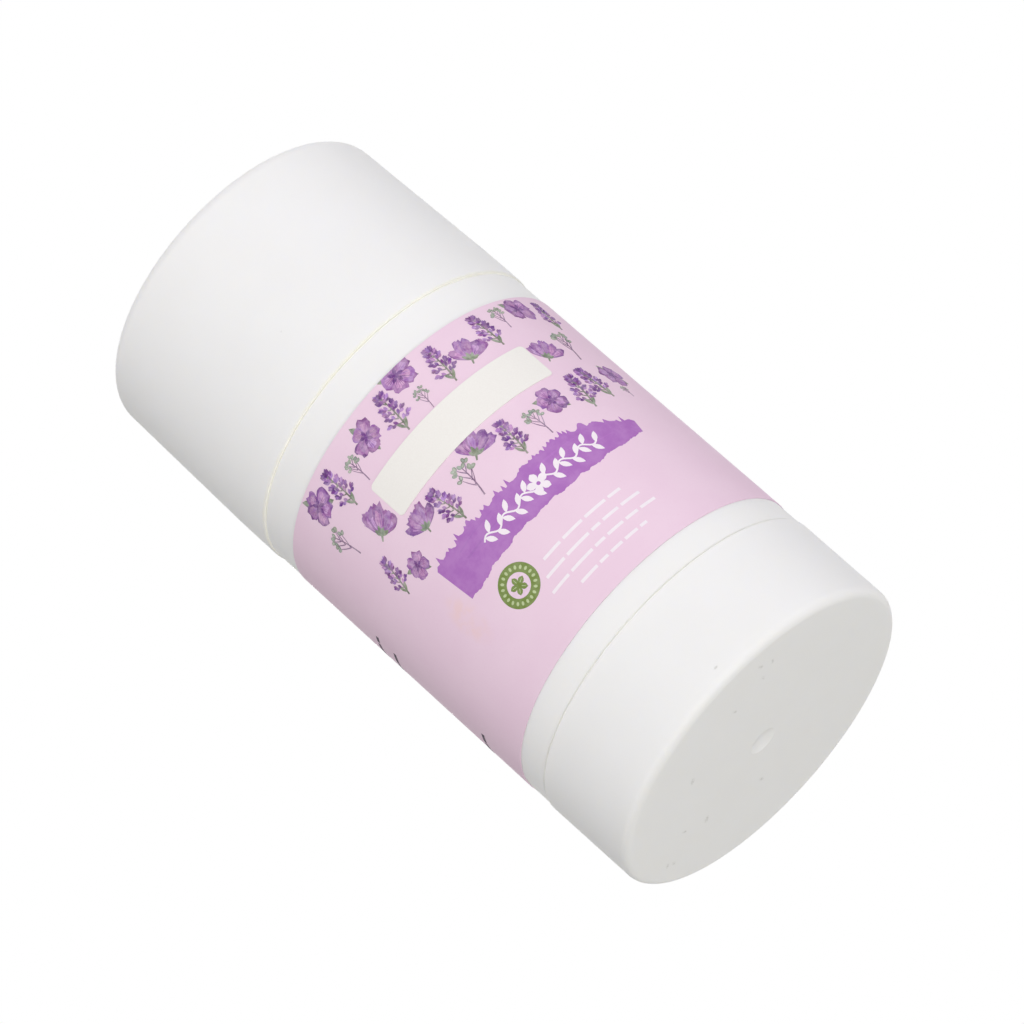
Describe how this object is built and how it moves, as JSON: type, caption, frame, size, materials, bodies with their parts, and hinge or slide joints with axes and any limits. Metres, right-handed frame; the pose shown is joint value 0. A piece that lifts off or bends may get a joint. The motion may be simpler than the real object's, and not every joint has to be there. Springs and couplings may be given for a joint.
{
  "type": "deodorant stick",
  "caption": "Round twist-up deodorant stick with a push-on cap, wrap label, turning base, screw spindle and rising platform.",
  "frame": {"origin": "centre of the foot of the turning base, on the surface it stands on", "axes": "+Z along the pack's axis towards the cap, -Y towards the front of the label"},
  "size_m": [0.0502, 0.0502, 0.103],
  "materials": {
    "white_plastic": "satin moulded polypropylene",
    "inner_plastic": "plain moulded polypropylene",
    "wax": "smooth waxy stick, faint sheen",
    "label_film": "satin printed film",
    "strip_film": "matte sticker",
    "ink_purple": "printed ink",
    "ink_violet": "printed ink",
    "ink_sage": "printed ink",
    "ink_olive": "printed ink",
    "ink_pale": "printed ink",
    "ink_dark": "printed ink"
  },
  "bodies": {
    "barrel": {"barrel": "white_plastic", "label": "label_film", "blank_strip": "strip_film", "brush_band": "ink_purple", "blossom_print": "ink_purple", "spray_print": "ink_violet", "twig_print": "ink_sage", "badge_print": "ink_olive", "line_print": "ink_pale", "back_print": "ink_dark"},
    "base": {"turning_base": "white_plastic", "spindle": "inner_plastic"},
    "lift": {"platform": "inner_plastic", "stick": "wax"},
    "cap": {"cap": "white_plastic"}
  },
  "joints": [
    {"name": "base_turn", "type": "hinge", "parent": "barrel", "child": "base", "pos_m": [0, 0, 0], "axis": [0, 0, -1], "range_deg": [0, 3600]},
    {"name": "platform_rise", "type": "slide", "parent": "barrel", "child": "lift", "axis": [0, 0, 1], "range_m": [0, 0.05]},
    {"name": "cap_pull", "type": "slide", "parent": "lift", "child": "cap", "axis": [0, 0, 1], "range_m": [0, 0.04]}
  ],
  "couplings": [
    {"joint": "base_turn", "follows": "platform_rise", "rad_per_m": 1256.6}
  ]
}
